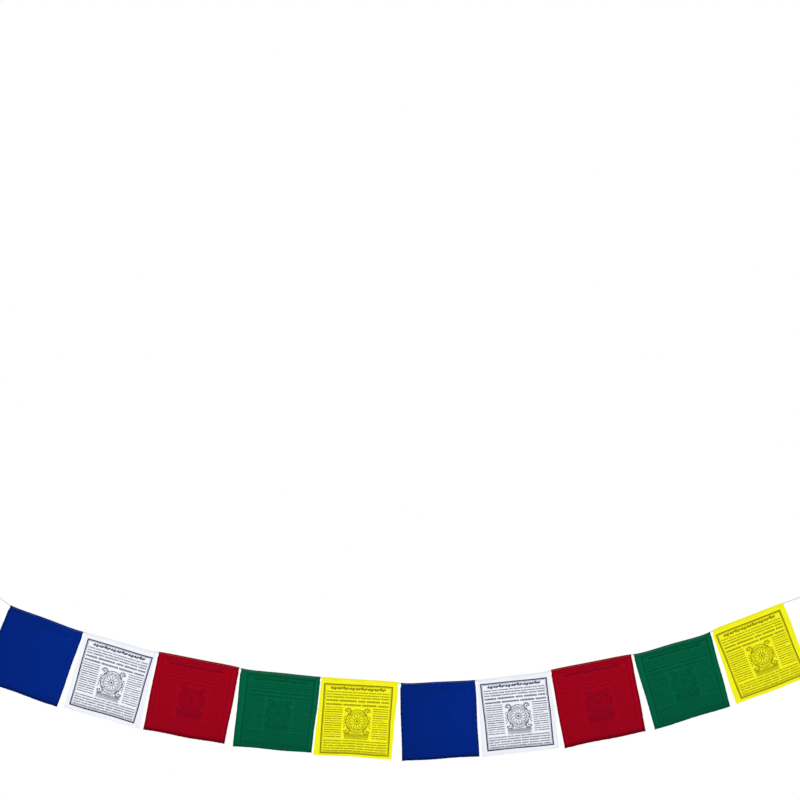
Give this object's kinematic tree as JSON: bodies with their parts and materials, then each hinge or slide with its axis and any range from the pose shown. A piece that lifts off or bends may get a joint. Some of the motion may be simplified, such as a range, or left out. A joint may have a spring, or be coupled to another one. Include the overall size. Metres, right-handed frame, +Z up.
{
  "type": "tibetan prayer flag string",
  "caption": "Small square printed cotton flags in repeating colours, their top sleeves threaded on one thin cord that hangs in a shallow sag between its two end loops.",
  "frame": {"origin": "far end of the left end loop, at the middle of its cord, where the string hangs from its hook", "axes": "+X right along the string, +Z up, the flags' printed faces look towards -Y"},
  "size_m": [1.9422, 0.0119, 0.4061],
  "materials": {
    "cloth_blue": "thin plain-woven cotton, matt, printed on its front in dark ink",
    "cloth_white": "thin plain-woven cotton, matt, printed on its front in dark ink",
    "cloth_red": "thin plain-woven cotton, matt, printed on its front in dark ink",
    "cloth_green": "thin plain-woven cotton, matt, printed on its front in dark ink",
    "cloth_yellow": "thin plain-woven cotton, matt, printed on its front in dark ink",
    "cord": "thin twisted undyed cotton cord"
  },
  "bodies": {
    "root": {"flag_01_blue": "cloth_blue", "flag_02_white": "cloth_white", "flag_03_red": "cloth_red", "flag_04_green": "cloth_green", "flag_05_yellow": "cloth_yellow", "flag_06_blue": "cloth_blue", "flag_07_white": "cloth_white", "flag_08_red": "cloth_red", "flag_09_green": "cloth_green", "flag_10_yellow": "cloth_yellow", "cord": "cord", "end_loop_left": "cord", "end_loop_right": "cord"}
  },
  "joints": []
}
